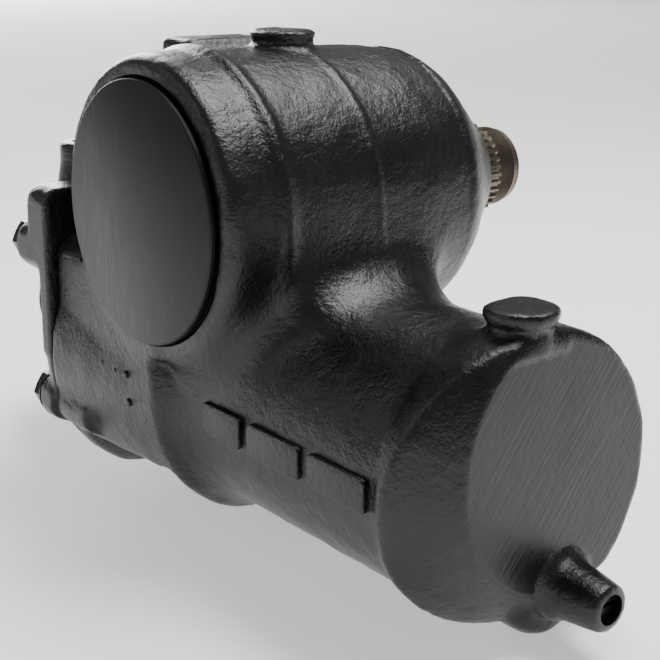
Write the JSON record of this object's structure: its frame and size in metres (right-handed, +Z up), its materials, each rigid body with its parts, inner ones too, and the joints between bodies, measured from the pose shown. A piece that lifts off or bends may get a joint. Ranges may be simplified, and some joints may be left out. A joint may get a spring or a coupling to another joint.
{
  "type": "power steering gear",
  "caption": "Cast integral power steering gear: recirculating-ball worm and rack piston in a long cylinder drive a geared cross shaft with a serrated, threaded output end.",
  "frame": {"origin": "on the sector shaft's axis, where the output serration starts", "axes": "+Y along the sector shaft out of the splined output end, +X along the piston cylinder towards its closed end, +Z up"},
  "size_m": [0.437, 0.2371, 0.2561],
  "materials": {
    "painted_casting": "satin",
    "painted_cap": "satin",
    "painted_steel": "satin",
    "machined_steel": "machined",
    "hardened_steel": "ground",
    "spring_steel": "oiled",
    "ductile_iron": "machined",
    "rubber": "matte",
    "seal_plastic": "matte"
  },
  "bodies": {
    "housing": {"gear_housing": "painted_casting", "valve_housing": "painted_casting", "relief_cap": "painted_casting", "cover_cap": "painted_cap", "valve_housing_bolts": "painted_steel", "adjuster_lock_nut": "machined_steel", "worm_bearing_retainer": "machined_steel", "main_bearing_shell": "hardened_steel", "cover_bearing_shell": "hardened_steel", "front_thrust_bearing": "hardened_steel", "rear_thrust_bearing": "hardened_steel", "input_needle_bearing": "hardened_steel", "relief_spring": "spring_steel", "limiter_spring": "spring_steel", "cover_snap_ring": "spring_steel", "seal_snap_ring": "spring_steel", "side_cover": "ductile_iron", "output_oil_seal": "rubber", "output_dust_seal": "rubber", "input_oil_seal": "rubber", "input_dust_cap": "rubber", "cover_o_ring": "rubber", "valve_housing_o_ring": "rubber", "limiter_o_ring": "rubber", "seal_back_up_ring": "seal_plastic"},
    "output": {"sector_shaft": "machined_steel", "adjuster_retainer": "machined_steel"},
    "adjuster": {"lash_adjuster": "machined_steel"},
    "piston": {"rack_piston": "ductile_iron", "piston_seal_ring": "seal_plastic", "piston_o_ring": "rubber", "piston_plug": "machined_steel", "recirculating_balls": "hardened_steel", "ball_return_guide": "machined_steel", "guide_clamp": "machined_steel", "guide_clamp_screws": "machined_steel"},
    "worm": {"worm_shaft": "hardened_steel", "valve_sleeve": "machined_steel", "sleeve_seal_rings": "seal_plastic", "torsion_bar": "machined_steel", "torsion_bar_pin": "machined_steel"},
    "input": {"input_shaft": "machined_steel"},
    "main_rollers": {"main_bearing_rollers": "hardened_steel"},
    "cover_rollers": {"cover_bearing_rollers": "hardened_steel"},
    "relief": {"relief_poppet": "machined_steel"},
    "limiter": {"limiter_plunger": "machined_steel"},
    "limiter_adjuster": {"limiter_screw": "painted_steel"}
  },
  "joints": [
    {"name": "output_turn", "type": "hinge", "parent": "housing", "child": "output", "pos_m": [0, 0, 0], "axis": [0, 1, 0], "range_deg": [-45, 45]},
    {"name": "piston_slide", "type": "slide", "parent": "housing", "child": "piston", "axis": [1, 0, 0], "range_m": [-0.0412, 0.0412]},
    {"name": "worm_turn", "type": "hinge", "parent": "housing", "child": "worm", "pos_m": [0, -0.124, -0.094], "axis": [1, 0, 0], "range_deg": [-985, 985]},
    {"name": "input_twist", "type": "hinge", "parent": "worm", "child": "input", "pos_m": [0, -0.124, -0.094], "axis": [1, 0, 0], "range_deg": [-5, 5], "stiffness_Nm_per_rad": 115},
    {"name": "main_cage_turn", "type": "hinge", "parent": "housing", "child": "main_rollers", "pos_m": [0, 0, 0], "axis": [0, 1, 0], "range_deg": [-22, 22]},
    {"name": "cover_cage_turn", "type": "hinge", "parent": "housing", "child": "cover_rollers", "pos_m": [0, 0, 0], "axis": [0, 1, 0], "range_deg": [-22, 22]},
    {"name": "lash_adjust", "type": "hinge", "parent": "housing", "child": "adjuster", "pos_m": [0, 0, 0], "axis": [0, 1, 0], "range_deg": [-90, 90]},
    {"name": "relief_lift", "type": "slide", "parent": "housing", "child": "relief", "axis": [0, 1, 0], "range_m": [0, 0.002], "stiffness_N_per_m": 20000, "springref_m": -0.002, "deforming": ["relief_spring"]},
    {"name": "limiter_lift", "type": "slide", "parent": "housing", "child": "limiter", "axis": [1, 0, 0], "range_m": [0, 0.003], "stiffness_N_per_m": 8000, "springref_m": -0.001, "deforming": ["limiter_spring"]},
    {"name": "limiter_adjust", "type": "hinge", "parent": "housing", "child": "limiter_adjuster", "pos_m": [0, -0.1033, -0.1457], "axis": [1, 0, 0], "range_deg": [-180, 180]}
  ],
  "couplings": [
    {"joint": "piston_slide", "follows": "output_turn", "m_per_rad": -0.052},
    {"joint": "worm_turn", "follows": "output_turn", "ratio": 21.782},
    {"joint": "main_cage_turn", "follows": "output_turn", "ratio": 0.45763},
    {"joint": "cover_cage_turn", "follows": "output_turn", "ratio": 0.47059}
  ]
}
